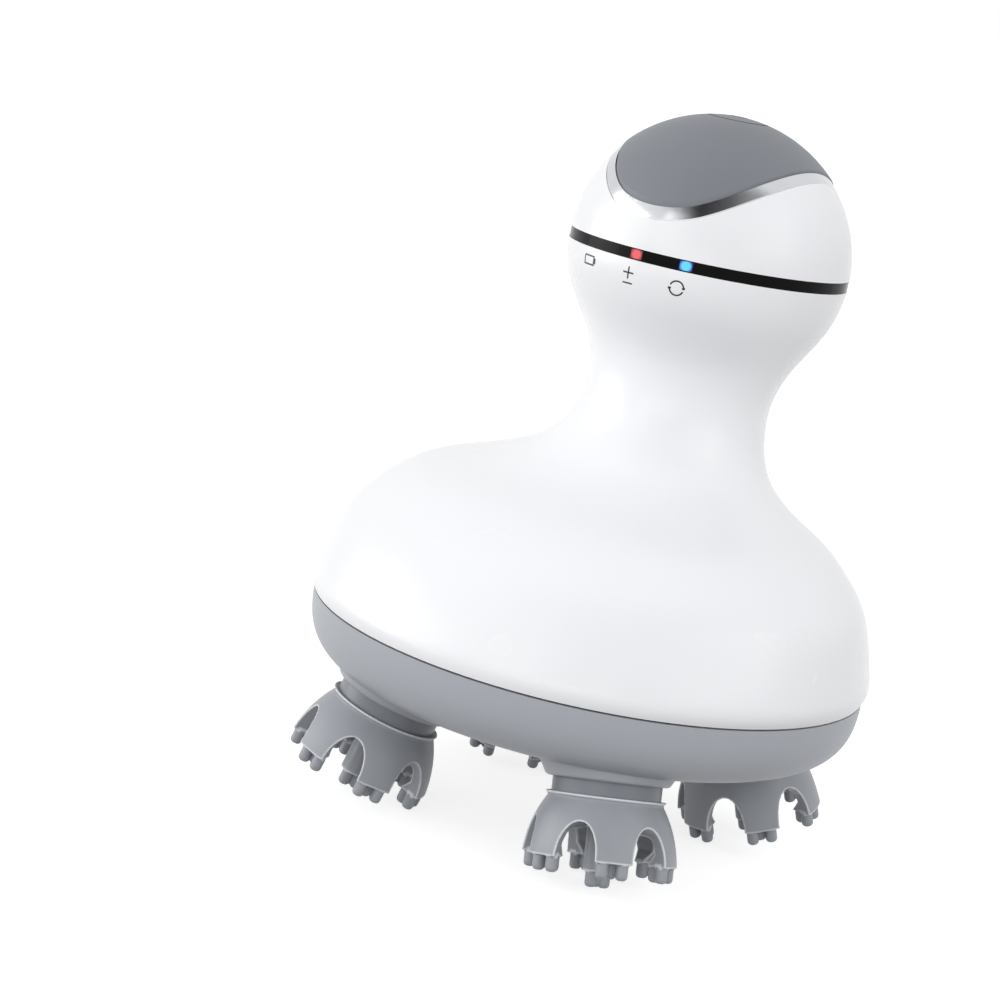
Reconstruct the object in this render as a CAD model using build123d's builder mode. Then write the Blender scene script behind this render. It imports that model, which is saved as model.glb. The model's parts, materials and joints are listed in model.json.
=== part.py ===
"""Cordless electric scalp massager with four splayed, spring-mounted massage heads.

Millimetres, +Z up, front towards -Y. The massager stands on the nubs of its heads, on z = 0, and the
origin is under the centre of the base. Each head runs on its own axis, which leans outwards at the
bottom, and every such axis meets the centre line at the same point, the gear apex.
"""

from build123d import *
import math
import os

os.makedirs("parts", exist_ok=True)

# ---- driving dimensions ----

# casing
base_width = 116.0
base_depth = 104.4
base_height = 14.0          # seam down to the flat underside
underside_width = 84.0
underside_depth = 76.0
base_roundness = 2.8        # exponent of the curve from seam to underside
wall = 2.2
seam_z = 39.7
seam_gap = 0.4
neck_radius = 18.8
ball_radius = 28.8
ball_y = 19.7
ball_z = 117.6
crown_height = 28.5
crown_lean = 1.5            # degrees, towards the back

# light band and crown
band_height = 2.3
band_recess = 0.15
band_skirt = 2.2
trim_half_x = 20.9
trim_half_y = 27.75
trim_side_inset = 1.65
trim_end_inset = 0.75
outline_power = 2.25
trim_thickness = 1.8
trim_proud = 0.05
pad_gap = 0.22
pad_proud = 0.3
pad_thickness = 2.2
carrier_thickness = 1.6
button_radius = 5.9
button_gap = 0.3
button_travel = 0.8

# heads
head_spacing = 53.6         # between neighbouring flange centres
head_lean = 17.5            # degrees, bottoms outwards
push_travel = 2.4
neck_tube_radius = 10.6
neck_tube_length = 12.5
lip_radius = 11.65
dome_radius = 11.05
finger_circle = 15.0        # outer radius at the finger ends
finger_length = 12.1
finger_end_thickness = 5.0
finger_count = 6
arch_width = 8.0
arch_height = 7.1
centre_finger_radius = 2.9
centre_finger_extra = 2.4
nub_radius = 1.2
nub_length = 3.0
nub_end_rounding = 0.8
nub_circle = 13.4
nub_inner_circle = 11.4
nub_side = 1.9
centre_nub_circle = 1.45
finger_phases = {"front_left": 33.75, "front_right": 56.25, "back_left": 15.0, "back_right": 26.25}

# drive
gear_module = 1.0
sun_teeth = 28
head_teeth = 32
gear_face = 6.0
addendum = 0.9
dedendum = 1.2
tooth_thinning = 0.13
spindle_hex = 6.0           # across flats
journal_radius = 3.5
drive_shaft_radius = 2.0
running_fit = 0.05
slide_fit = 0.08
spring_radius = 6.9
spring_wire = 0.9
spring_turns = 4.5

# battery, motor and board
cell_radius = 9.25
cell_length = 65.0
cell_y = 18.5
motor_radius = 10.1
motor_length = 9.5
gearbox_radius = 15.0
gearbox_height = 8.0
motor_shift = 2.8           # motor and gearbox towards the front, off the output shaft
board_width = 20.0
board_height = 27.0
board_thickness = 1.6

# fastenings and contacts
screw_radius = 1.5
contact_pitch = 7.0
contact_bore_radius = 2.1
contact_bore_depth = 2.4
contact_y = 31.0

# ---- places worked out from them ----

lean = math.radians(head_lean)
nub_flat = nub_radius - nub_end_rounding
nub_drop = (finger_length + nub_length - nub_end_rounding) * math.cos(lean)
nub_drop += (nub_circle + nub_flat) * math.sin(lean)
flange_z = nub_drop + nub_end_rounding
head_reach = head_spacing / math.sqrt(2)
apex_height = flange_z + head_reach / math.tan(lean)
axis_length = head_reach / math.sin(lean)

crown_tilt = math.radians(crown_lean)
crown_up = (0, math.sin(crown_tilt), math.cos(crown_tilt))
crown_plane = Plane(origin=(0, ball_y, ball_z), x_dir=(1, 0, 0), z_dir=crown_up)
crown_axis = Axis(crown_plane.origin, crown_plane.z_dir)
crown_section = Plane(origin=crown_plane.origin, x_dir=(1, 0, 0), z_dir=-crown_plane.y_dir)
shell_bottom = seam_z + seam_gap / 2
base_top = seam_z - seam_gap / 2
underside_z = base_top - base_height
floor_z = underside_z + wall


def head_plane(side_x, side_y):
    """Plane at a flange's centre: z up along the head's axis, x away from the centre line."""
    flat = (side_x / math.sqrt(2), side_y / math.sqrt(2))
    return Plane(
        origin=(side_x * head_spacing / 2, side_y * head_spacing / 2, flange_z),
        x_dir=(flat[0] * math.cos(lean), flat[1] * math.cos(lean), math.sin(lean)),
        z_dir=(-flat[0] * math.sin(lean), -flat[1] * math.sin(lean), math.cos(lean)),
    )


heads = {
    "front_left": head_plane(-1, -1),
    "front_right": head_plane(1, -1),
    "back_left": head_plane(-1, 1),
    "back_right": head_plane(1, 1),
}


def section_of(plane):
    """Plane through a head's axis, for profiles that are revolved: x is the radius, y is along the axis."""
    return Plane(origin=plane.origin, x_dir=plane.x_dir, z_dir=-plane.y_dir)


def axis_of(plane):
    return Axis(plane.origin, plane.z_dir)


def turned_plane(plane, degrees):
    """The same plane, turned about its own z."""
    turn = math.radians(degrees)
    across = plane.x_dir * math.cos(turn) + plane.y_dir * math.sin(turn)
    return Plane(origin=plane.origin, x_dir=across, z_dir=plane.z_dir)


def save(part, name):
    part.label = name
    export_step(part, f"parts/{name}.step")


# ---- white body: a broad base that draws in to a neck, then swells to the ball ----

# each station: share of the height from seam to ball, width and depth as shares of the way
# from the neck's radius to the base's, and centre as a share of the ball's offset
lower_stations = [
    (0.000, 1.000, 1.000, 0.000),
    (0.065, 1.018, 0.980, 0.000),
    (0.140, 0.980, 0.905, 0.025),
    (0.220, 0.921, 0.795, 0.060),
    (0.285, 0.819, 0.652, 0.107),
    (0.345, 0.671, 0.478, 0.198),
    (0.390, 0.444, 0.290, 0.386),
    (0.425, 0.270, 0.178, 0.558),
    (0.460, 0.153, 0.112, 0.680),
    (0.505, 0.074, 0.066, 0.777),
    (0.570, 0.018, 0.033, 0.863),
    (0.645, 0.000, 0.025, 0.924),
]
# above the neck, the radius is a share of the way from the neck's to the ball's
upper_stations = [
    (0.755, 0.260, 0.985),
    (0.870, 0.775, 0.995),
    (1.000, 1.000, 1.000),
    (1.075, 0.935, 1.000),
]

body_height = ball_z - seam_z
base_rx = base_width / 2
base_ry = base_depth / 2

with BuildPart() as body_form:
    for up, wide, deep, back in lower_stations:
        with BuildSketch(Plane.XY.offset(seam_z + up * body_height)):
            with Locations((0, back * ball_y)):
                half_width = neck_radius + wide * (base_rx - neck_radius)
                Ellipse(half_width, neck_radius + deep * (base_ry - neck_radius))
    for up, swell, back in upper_stations:
        with BuildSketch(Plane.XY.offset(seam_z + up * body_height)):
            with Locations((0, back * ball_y)):
                Circle(neck_radius + swell * (ball_radius - neck_radius))
    loft()

case_screw_points = [(-41.0, 0.0), (41.0, 0.0), (0.0, -35.0)]
case_boss_radius = 3.6
case_boss_top = seam_z + 34.0
case_screw_top = seam_z + 11.0

with BuildPart() as case_bosses:
    with BuildSketch(Plane.XY.offset(shell_bottom)):
        with Locations(*case_screw_points):
            Circle(case_boss_radius)
    extrude(amount=case_boss_top - shell_bottom)
    with BuildSketch(Plane.XY.offset(shell_bottom)):
        with Locations(*case_screw_points):
            Circle(screw_radius - 0.2)
    extrude(amount=case_screw_top + 1.0 - shell_bottom, mode=Mode.SUBTRACT)
    add(body_form.part, mode=Mode.INTERSECT)

with BuildPart() as body_shell:
    add(body_form.part)
    offset(amount=-wall, openings=body_shell.faces().filter_by(Axis.Z))
    add(case_bosses.part)
    split(bisect_by=Plane.XY.offset(shell_bottom), keep=Keep.TOP)
    split(bisect_by=crown_plane.offset(-band_height / 2), keep=Keep.BOTTOM)
save(body_shell.part, "body_shell")

# ---- grey base housing: a shallow bowl with a boss for each head ----

rim_height = push_travel + 0.4       # flange to boss rim, along the head's axis
boss_bore = neck_tube_radius + 0.3
boss_rim_radius = boss_bore + 1.0
sleeve_radius = boss_bore + 2.9
flare_height = 3.4
rim_rounding = 1.2
flare_rounding = 2.5
seal_seat_radius = boss_bore + 1.7
seal_height = 2.4
seal_bottom = rim_height + 5.7
sleeve_top = (floor_z - flange_z + sleeve_radius * math.sin(lean)) / math.cos(lean) + 0.3
base_post_radius = 3.8
chassis_z = base_top - 2.2           # underside of the chassis plate
chassis_thickness = 2.0
block_size = (15.0, 9.0)


def base_size(down, half_underside, half_seam):
    """Half size of the bowl at a share of its depth below the seam."""
    return half_underside + (half_seam - half_underside) * (1 - down**base_roundness) ** (1 / base_roundness)


with BuildPart() as base_housing:
    for skin, mode in ((0.0, Mode.ADD), (wall, Mode.SUBTRACT)):
        for down in (0.0, 0.2, 0.4, 0.6, 0.78, 0.91, 0.975, 1.0):
            half_x = base_size(down, underside_width / 2 - skin / 2, base_rx - skin)
            half_y = base_size(down, underside_depth / 2 - skin / 2, base_ry - skin)
            with BuildSketch(Plane.XY.offset(base_top - down * (base_height - skin))):
                Ellipse(half_x, half_y)
        loft(mode=mode)
    for plane in heads.values():
        with BuildSketch(section_of(plane)):
            with BuildLine():
                FilletPolyline(
                    (boss_bore, rim_height),
                    (boss_rim_radius, rim_height),
                    (sleeve_radius, rim_height + flare_height),
                    (sleeve_radius, sleeve_top),
                    radius=[rim_rounding, flare_rounding],
                )
                Polyline((sleeve_radius, sleeve_top), (boss_bore, sleeve_top), (boss_bore, rim_height))
            make_face()
        revolve(axis=axis_of(plane))
        with BuildSketch(plane.offset(rim_height)):
            Circle(boss_bore)
        extrude(amount=sleeve_top - rim_height, mode=Mode.SUBTRACT)
        with BuildSketch(plane.offset(seal_bottom)):
            Circle(seal_seat_radius)
        extrude(amount=sleeve_top - seal_bottom, mode=Mode.SUBTRACT)
    with BuildSketch(Plane.XY.offset(floor_z - wall / 2)):
        with Locations(*case_screw_points):
            Circle(base_post_radius)
    extrude(amount=chassis_z - floor_z + wall / 2)
    with BuildSketch(Plane.XY.offset(underside_z)):
        with Locations(*case_screw_points):
            Circle(screw_radius + 0.2)
    extrude(amount=chassis_z - underside_z, mode=Mode.SUBTRACT)
    with BuildSketch(Plane.XY.offset(underside_z)):
        with Locations(*case_screw_points):
            Circle(screw_radius + 1.6)
    extrude(amount=3.0, mode=Mode.SUBTRACT)
    with BuildSketch(Plane.XY.offset(underside_z)):
        with Locations((0, contact_y)):
            Rectangle(*block_size)
    extrude(amount=wall, mode=Mode.SUBTRACT)
save(base_housing.part, "base_housing")

with BuildPart() as case_seal:
    with BuildSketch(Plane.XY.offset(base_top)):
        Ellipse(base_rx - 0.8, base_ry - 0.8)
        Ellipse(base_rx - wall + 0.1, base_ry - wall + 0.1, mode=Mode.SUBTRACT)
    extrude(amount=seam_gap)
save(case_seal.part, "case_seal")

with BuildPart() as case_screws:
    with BuildSketch(Plane.XY.offset(underside_z + 3.0)):
        with Locations(*case_screw_points):
            Circle(screw_radius - 0.2)
    extrude(amount=case_screw_top - underside_z - 3.0)
    with BuildSketch(Plane.XY.offset(underside_z + 1.2)):
        with Locations(*case_screw_points):
            Circle(screw_radius + 1.3)
            RegularPolygon(1.1, 6, mode=Mode.SUBTRACT)
    extrude(amount=1.8)
save(case_screws.part, "case_screws")

with BuildPart() as neck_seals:
    for plane in heads.values():
        with BuildSketch(plane.offset(seal_bottom)):
            Circle(seal_seat_radius)
            Circle(neck_tube_radius + running_fit, mode=Mode.SUBTRACT)
        extrude(amount=seal_height)
save(neck_seals.part, "neck_seals")

# ---- chassis plate: carries the spindles' bushes and the drive ----

bush_bottom = 19.6                   # along the head's axis, from the flange
cone_sun = math.atan(math.sin(lean) / (head_teeth / sun_teeth + math.cos(lean)))
cone_head = lean - cone_sun
cone_distance = gear_module * sun_teeth / 2 / math.sin(cone_sun)
sun_bottom = apex_height - cone_distance * math.cos(cone_sun)
sun_face = gear_face * math.cos(cone_sun)
gear_bottom = axis_length - cone_distance * math.cos(cone_head)
head_face = gear_face * math.cos(cone_head)
bush_top = gear_bottom - 0.1
bush_flange = 0.6
bush_wall = 1.5
boss_wall = 2.4
bush_outer = journal_radius + running_fit + bush_wall
chassis_boss = bush_outer + boss_wall
drive_bush_outer = drive_shaft_radius + running_fit + bush_wall
drive_boss_bottom = chassis_z - 1.2
bracket_points = [(27.0, 0.0), (0.0, 27.0), (-27.0, 0.0), (0.0, -27.0)]
bracket_post_radius = 2.8
bracket_z = sun_bottom + sun_face + 3.0
bracket_thickness = 2.0
bracket_screw_radius = 1.1

with BuildPart() as chassis_plate:
    with BuildSketch(Plane.XY.offset(chassis_z)):
        Ellipse(base_rx - wall - 0.7, base_ry - wall - 0.7)
    extrude(amount=chassis_thickness)
    with BuildSketch(Plane.XY.offset(drive_boss_bottom)):
        Circle(drive_bush_outer + boss_wall)
    extrude(amount=sun_bottom - 1.0 - drive_boss_bottom)
    for plane in heads.values():
        with BuildSketch(plane.offset(bush_bottom)):
            Circle(chassis_boss)
        extrude(amount=bush_top - bush_flange - bush_bottom)
    for plane in heads.values():
        with BuildSketch(plane.offset(bush_bottom)):
            Circle(bush_outer)
        extrude(amount=bush_top - bush_bottom, mode=Mode.SUBTRACT)
        with BuildSketch(plane.offset(bush_bottom - 6.0)):
            Circle(spring_radius + spring_wire + 0.6)
        extrude(amount=6.0, mode=Mode.SUBTRACT)
    with BuildSketch(Plane.XY.offset(drive_boss_bottom)):
        Circle(drive_bush_outer)
    extrude(amount=sun_bottom - drive_boss_bottom, mode=Mode.SUBTRACT)
    with BuildSketch(Plane.XY.offset(chassis_z)):
        with Locations(*case_screw_points):
            Circle(screw_radius + 0.2)
        with Locations(*bracket_points):
            Circle(bracket_screw_radius)
    extrude(amount=chassis_thickness, mode=Mode.SUBTRACT)
save(chassis_plate.part, "chassis_plate")

with BuildPart() as spindle_bushes:
    for plane in heads.values():
        with BuildSketch(plane.offset(bush_bottom)):
            Circle(bush_outer)
        extrude(amount=bush_top - bush_bottom)
        with BuildSketch(plane.offset(bush_top - bush_flange)):
            Circle(bush_outer + 1.2)
        extrude(amount=bush_flange)
        with BuildSketch(plane.offset(bush_bottom)):
            Circle(journal_radius + running_fit)
        extrude(amount=bush_top - bush_bottom, mode=Mode.SUBTRACT)
save(spindle_bushes.part, "spindle_bushes")

with BuildPart() as drive_bush:
    with BuildSketch(Plane.XY.offset(drive_boss_bottom)):
        Circle(drive_bush_outer)
    extrude(amount=sun_bottom - 0.3 - drive_boss_bottom)
    with BuildSketch(Plane.XY.offset(sun_bottom - 1.0)):
        Circle(drive_bush_outer + 1.2)
    extrude(amount=0.7)
    with BuildSketch(Plane.XY.offset(drive_boss_bottom)):
        Circle(drive_shaft_radius + running_fit)
    extrude(amount=sun_bottom - drive_boss_bottom, mode=Mode.SUBTRACT)
save(drive_bush.part, "drive_bush")

# ---- gearmotor and its bracket ----

can_bottom = bracket_z + bracket_thickness
chassis_top = chassis_z + chassis_thickness

with BuildPart() as motor_bracket:
    with BuildSketch(Plane.XY.offset(bracket_z)):
        Circle(gearbox_radius + motor_shift)
        Rectangle(2 * bracket_points[0][0], 7.0)
        Rectangle(7.0, 2 * bracket_points[0][0])
        with Locations(*bracket_points):
            Circle(3.5)
    extrude(amount=bracket_thickness)
    with BuildSketch(Plane.XY.offset(chassis_top)):
        with Locations(*bracket_points):
            Circle(bracket_post_radius)
    extrude(amount=bracket_z - chassis_top)
    with BuildSketch(Plane.XY.offset(chassis_top)):
        with Locations(*bracket_points):
            Circle(bracket_screw_radius)
    extrude(amount=can_bottom - chassis_top, mode=Mode.SUBTRACT)
    with BuildSketch(Plane.XY.offset(bracket_z)):
        Circle(drive_shaft_radius + 2.0)
    extrude(amount=bracket_thickness, mode=Mode.SUBTRACT)
save(motor_bracket.part, "motor_bracket")

with BuildPart() as bracket_screws:
    with BuildSketch(Plane.XY.offset(chassis_z)):
        with Locations(*bracket_points):
            Circle(bracket_screw_radius)
    extrude(amount=can_bottom - chassis_z)
    with BuildSketch(Plane.XY.offset(can_bottom)):
        with Locations(*bracket_points):
            Circle(2.1)
            Rectangle(2.4, 0.6, mode=Mode.SUBTRACT)
    extrude(amount=1.3)
save(bracket_screws.part, "bracket_screws")

shaft_top = can_bottom + 4.5

with BuildPart() as gearbox_can:
    with BuildSketch(Plane.XY.offset(can_bottom)):
        with Locations((0, -motor_shift)):
            Circle(gearbox_radius)
    extrude(amount=gearbox_height)
    fillet(gearbox_can.faces().sort_by(Axis.Z)[-1].edges(), 0.8)
    with BuildSketch(Plane.XY.offset(can_bottom)):
        Circle(drive_shaft_radius + running_fit)
    extrude(amount=shaft_top + 0.5 - can_bottom, mode=Mode.SUBTRACT)
save(gearbox_can.part, "gearbox_can")

motor_bottom = can_bottom + gearbox_height

with BuildPart() as motor_can:
    with BuildSketch(Plane.XY.offset(motor_bottom)):
        with Locations((0, -motor_shift)):
            Circle(motor_radius)
    extrude(amount=motor_length)
    fillet(motor_can.faces().sort_by(Axis.Z)[-1].edges(), 1.0)
save(motor_can.part, "motor_can")

with BuildPart() as motor_terminals:
    with BuildSketch(Plane.XY.offset(motor_bottom + motor_length)):
        with Locations((-5.0, -motor_shift), (5.0, -motor_shift)):
            Rectangle(0.5, 2.2)
    extrude(amount=1.6)
save(motor_terminals.part, "motor_terminals")

# ---- drive shaft and sun gear ----

with BuildPart() as drive_shaft:
    with BuildSketch(Plane.XY.offset(drive_boss_bottom)):
        Circle(drive_shaft_radius)
    extrude(amount=shaft_top - drive_boss_bottom)
    with BuildSketch(Plane.XY.offset(sun_bottom)):
        with Locations((drive_shaft_radius + 0.5, 0)):
            Rectangle(2.0, 2 * drive_shaft_radius)
    extrude(amount=sun_face, mode=Mode.SUBTRACT)
save(drive_shaft.part, "drive_shaft")


def tooth_points(teeth, first_angle):
    """Corner points of a spur outline with involute flanks, a tooth centred on first_angle (degrees)."""
    pitch = gear_module * teeth / 2
    base = pitch * math.cos(math.radians(20))
    radii = [pitch - dedendum, pitch - 0.45 * dedendum, pitch, pitch + addendum]

    def involute(radius):
        pressure = math.acos(min(1.0, base / radius))
        return math.tan(pressure) - pressure

    half_tooth = (math.pi * gear_module / 2 - tooth_thinning) / 2 / pitch
    half_angles = [half_tooth + involute(pitch) - involute(max(radius, base)) for radius in radii]
    points = []
    for tooth in range(teeth):
        middle = math.radians(first_angle) + 2 * math.pi * tooth / teeth
        for radius, half in zip(radii, half_angles):
            points.append((radius * math.cos(middle - half), radius * math.sin(middle - half)))
        for radius, half in zip(reversed(radii), reversed(half_angles)):
            points.append((radius * math.cos(middle + half), radius * math.sin(middle + half)))
    return points


small_end = (cone_distance - gear_face) / cone_distance

with BuildPart() as sun_gear:
    for height, size in ((0, 1.0), (sun_face, small_end)):
        with BuildSketch(Plane.XY.offset(sun_bottom + height)):
            with BuildLine():
                Polyline(*[(size * x, size * y) for x, y in tooth_points(sun_teeth, 45.0)], close=True)
            make_face()
    loft(ruled=True)
    with BuildSketch(Plane.XY.offset(sun_bottom)):
        Circle(drive_shaft_radius)
        with Locations((drive_shaft_radius + 0.5, 0)):
            Rectangle(2.0, 2 * drive_shaft_radius, mode=Mode.SUBTRACT)
    extrude(amount=sun_face, mode=Mode.SUBTRACT)
save(sun_gear.part, "sun_gear")

with BuildPart() as drive_clip:
    with BuildSketch(Plane.XY.offset(sun_bottom + sun_face + 0.1)):
        Circle(drive_shaft_radius + 1.6)
        Circle(drive_shaft_radius, mode=Mode.SUBTRACT)
    extrude(amount=0.7)
save(drive_clip.part, "drive_clip")

# ---- what each head is made of, from the gear down to the nubs ----

clip_bottom = 3.3
clip_height = 0.8
hex_wall_bottom = clip_bottom + clip_height + 0.2
hex_wall = 4.0
hex_wall_top = hex_wall_bottom + hex_wall
spindle_bottom = clip_bottom - 0.7
chamber_floor = spindle_bottom - push_travel - 0.7
chamber_radius = 5.0
core_radius = 8.0
core_cover = 0.3                     # silicone between the core and the top of an arch
core_bottom = arch_height - finger_length + core_cover
pocket_radius = 8.6
gear_clip_bottom = gear_bottom + head_face + 0.1
spindle_top = gear_clip_bottom + 1.4
nub_root = 0.4                       # of each nub, inside its finger

with BuildPart() as nub_form:
    with BuildSketch(Plane.XY.offset(-nub_length)):
        Circle(nub_radius)
    extrude(amount=nub_length + nub_root)
    fillet(nub_form.faces().sort_by(Axis.Z)[0].edges(), nub_end_rounding)


def make_head(name, plane):
    phase = finger_phases[name]
    axis = axis_of(plane)
    turned = turned_plane(plane, phase)

    with BuildPart() as gear:
        for height, size in ((0, 1.0), (head_face, small_end)):
            with BuildSketch(plane.offset(gear_bottom + height)):
                with BuildLine():
                    Polyline(*[(size * x, size * y) for x, y in tooth_points(head_teeth, 180.0 / head_teeth)],
                             close=True)
                make_face()
        loft(ruled=True)
        with BuildSketch(turned.offset(gear_bottom)):
            RegularPolygon(spindle_hex / 2, 6, major_radius=False)
        extrude(amount=head_face, mode=Mode.SUBTRACT)
    save(gear.part, f"{name}_gear")

    with BuildPart() as spindle:
        with BuildSketch(turned.offset(spindle_bottom)):
            RegularPolygon(spindle_hex / 2, 6, major_radius=False)
        extrude(amount=spindle_top - spindle_bottom)
        with BuildSketch(plane.offset(bush_bottom)):
            Circle(journal_radius)
        extrude(amount=bush_top - bush_bottom)
        with BuildSketch(plane.offset(clip_bottom)):
            Circle(spindle_hex)
            Circle(spindle_hex / 2 - 0.4, mode=Mode.SUBTRACT)
        extrude(amount=clip_height, mode=Mode.SUBTRACT)
        with BuildSketch(plane.offset(gear_clip_bottom)):
            Circle(spindle_hex)
            Circle(spindle_hex / 2 - 0.4, mode=Mode.SUBTRACT)
        extrude(amount=clip_height, mode=Mode.SUBTRACT)
    save(spindle.part, f"{name}_spindle")

    with BuildPart() as clips:
        for bottom in (clip_bottom, gear_clip_bottom):
            with BuildSketch(plane.offset(bottom)):
                Circle(spindle_hex / 2 + 1.6)
                Circle(spindle_hex / 2 - 0.4, mode=Mode.SUBTRACT)
                with Locations((spindle_hex / 2, 0)):
                    Rectangle(spindle_hex, 2.4, mode=Mode.SUBTRACT)
            extrude(amount=clip_height)
    save(clips.part, f"{name}_clips")

    with BuildPart() as hub:
        with BuildSketch(section_of(plane)):
            with BuildLine():
                Polyline(
                    (0, core_bottom),
                    (core_radius, core_bottom),
                    (core_radius, 0),
                    (neck_tube_radius, 0),
                    (neck_tube_radius, neck_tube_length),
                    (pocket_radius, neck_tube_length),
                    (pocket_radius, hex_wall_top),
                    (0, hex_wall_top),
                    close=True,
                )
            make_face()
        revolve(axis=axis)
        with BuildSketch(plane.offset(chamber_floor)):
            Circle(chamber_radius)
        extrude(amount=hex_wall_bottom - chamber_floor, mode=Mode.SUBTRACT)
        with BuildSketch(turned.offset(hex_wall_bottom)):
            RegularPolygon(spindle_hex / 2 + slide_fit, 6, major_radius=False)
        extrude(amount=hex_wall, mode=Mode.SUBTRACT)
    save(hub.part, f"{name}_hub")

    spring_bottom = hex_wall_top + spring_wire / 2 + 0.02
    spring_top = bush_bottom - spring_wire / 2 - 0.05
    with BuildPart() as spring:
        with BuildLine() as coil:
            Helix((spring_top - spring_bottom) / spring_turns, spring_top - spring_bottom, spring_radius,
                  center=plane.offset(spring_bottom).origin, direction=plane.z_dir)
        with BuildSketch(Plane(origin=coil.line @ 0, z_dir=coil.line % 0)):
            Circle(spring_wire / 2)
        sweep(path=coil.line, is_frenet=True)
    save(spring.part, f"{name}_spring")

    with BuildPart() as head:
        with BuildSketch(section_of(plane)):
            with BuildLine():
                dome_end = (finger_circle, -finger_length)
                inner_end = (finger_circle - finger_end_thickness, -finger_length)
                Polyline((core_radius, -0.02), (dome_radius, -0.02), (lip_radius, 0.0), (lip_radius, -0.25),
                         (dome_radius, -0.75))
                ThreePointArc((dome_radius, -0.75), (dome_radius + 2.3, -0.43 * finger_length), dome_end)
                Polyline(dome_end, inner_end, (finger_circle - 3.1, -0.8 * finger_length),
                         (finger_circle - 3.5, -0.62 * finger_length))
                Spline((finger_circle - 3.5, -0.62 * finger_length), (dome_radius - 2.6, core_bottom - 1.9),
                       (0, core_bottom - 1.5), tangents=((-0.3, 1), (-1, 0)))
                Polyline((0, core_bottom - 1.5), (0, core_bottom), (core_radius, core_bottom),
                         (core_radius, -0.02))
            make_face()
        revolve(axis=axis)
        for finger in range(finger_count):
            gap_direction = turned_plane(plane, phase + 360 / finger_count * (finger + 0.5))
            with BuildSketch(Plane(origin=gap_direction.origin, x_dir=gap_direction.y_dir,
                                   z_dir=gap_direction.x_dir)):
                with Locations((0, -finger_length)):
                    Ellipse(arch_width / 2, arch_height)
            extrude(amount=finger_circle + 2, mode=Mode.SUBTRACT)
        with BuildSketch(plane.offset(core_bottom)):
            Circle(centre_finger_radius)
        extrude(amount=-finger_length - centre_finger_extra - core_bottom)
        outer_x = math.sqrt(nub_circle**2 - nub_side**2)
        finger_nubs = []
        for finger in range(finger_count):
            for x, y in ((outer_x, -nub_side), (outer_x, nub_side), (nub_inner_circle, 0.0)):
                finger_nubs.append(Vector(x, y, 0).rotate(Axis.Z, 360 / finger_count * finger))
        centre_nubs = [Vector(centre_nub_circle, 0, 0).rotate(Axis.Z, 120 * nub) for nub in range(3)]
        centre_end = -finger_length - centre_finger_extra
        for nubs, root in ((finger_nubs, -finger_length), (centre_nubs, centre_end)):
            with Locations(*[turned.offset(root).location * Location(nub) for nub in nubs]):
                add(nub_form.part)
    save(head.part, f"{name}_head")


for head_name, head_place in heads.items():
    make_head(head_name, head_place)


# ---- light band between the body and the crown ----

skirt_outer = ball_radius - wall - 0.65
lower_skirt_outer = skirt_outer - 0.8
skirt_inner = skirt_outer - 1.8
window_angles = {"red": 0.0, "blue": 21.0}      # from the front, towards +X
window_width = 2.6
window_height = 1.8
guide_inner = 18.3
guide_fit = 0.05


def window_plane(angle):
    """Plane at the ball's centre that looks outwards through the band at an angle from the front."""
    turn = math.radians(angle)
    across, back = crown_plane.x_dir, crown_plane.y_dir
    return Plane(
        origin=crown_plane.origin,
        x_dir=across * math.cos(turn) + back * math.sin(turn),
        z_dir=across * math.sin(turn) - back * math.cos(turn),
    )


with BuildPart() as light_band:
    with BuildSketch(crown_section):
        with Locations((skirt_inner, 0)):
            Rectangle(ball_radius - band_recess - skirt_inner, band_height, align=(Align.MIN, Align.CENTER))
            Rectangle(skirt_outer - skirt_inner, band_height / 2 + band_skirt, align=(Align.MIN, Align.MIN))
            Rectangle(lower_skirt_outer - skirt_inner, (band_height + band_skirt) / 2,
                      align=(Align.MIN, Align.MAX))
    revolve(axis=crown_axis)
    for angle in window_angles.values():
        with BuildSketch(window_plane(angle).offset(guide_inner)):
            Rectangle(window_width + 2 * guide_fit, window_height + 2 * guide_fit)
        extrude(amount=ball_radius - guide_inner, mode=Mode.SUBTRACT)
save(light_band.part, "light_band")

for colour, angle in window_angles.items():
    with BuildPart() as guide:
        with BuildSketch(window_plane(angle).offset(guide_inner)):
            Rectangle(window_width, window_height)
        extrude(amount=ball_radius - band_recess - guide_inner)
    save(guide.part, f"{colour}_light_guide")

# ---- crown: cap, trim ring, soft pad and their carrier ----

opening_fit = 0.06
inner_x = trim_half_x - trim_side_inset
inner_y = trim_half_y - trim_end_inset
trim_bottom = 4.0
carrier_gap = 0.06
carrier_bottom = 6.5


def crown_profile(out, thickness, bottom):
    """Half section of a shell that follows the crown's ellipsoid, out millimetres outside it."""
    Ellipse(ball_radius + out, crown_height + out)
    Ellipse(ball_radius + out - thickness, crown_height + out - thickness, mode=Mode.SUBTRACT)
    with Locations((0, bottom)):
        Rectangle(2 * ball_radius, 2 * crown_height, align=(Align.MIN, Align.MIN), mode=Mode.INTERSECT)


def saddle_outline(half_x, half_y, mode=Mode.ADD):
    """Superellipse in plan, which the crown's curve turns into a saddle."""
    points = []
    for step in range(24):
        turn = 2 * math.pi * (step + 0.5) / 24
        x = math.copysign(abs(math.cos(turn)) ** (2 / outline_power), math.cos(turn))
        y = math.copysign(abs(math.sin(turn)) ** (2 / outline_power), math.sin(turn))
        points.append((half_x * x, half_y * y))
    with BuildLine() as outline:
        Spline(*points, periodic=True)
    make_face(outline.edges(), mode=mode)


with BuildPart() as crown_shell:
    with BuildSketch(crown_section):
        crown_profile(0, wall, band_height / 2)
    revolve(axis=crown_axis)
    with BuildSketch(crown_plane):
        saddle_outline(trim_half_x + opening_fit, trim_half_y + opening_fit)
    extrude(amount=crown_height + 5, mode=Mode.SUBTRACT)
save(crown_shell.part, "crown_shell")

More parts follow.
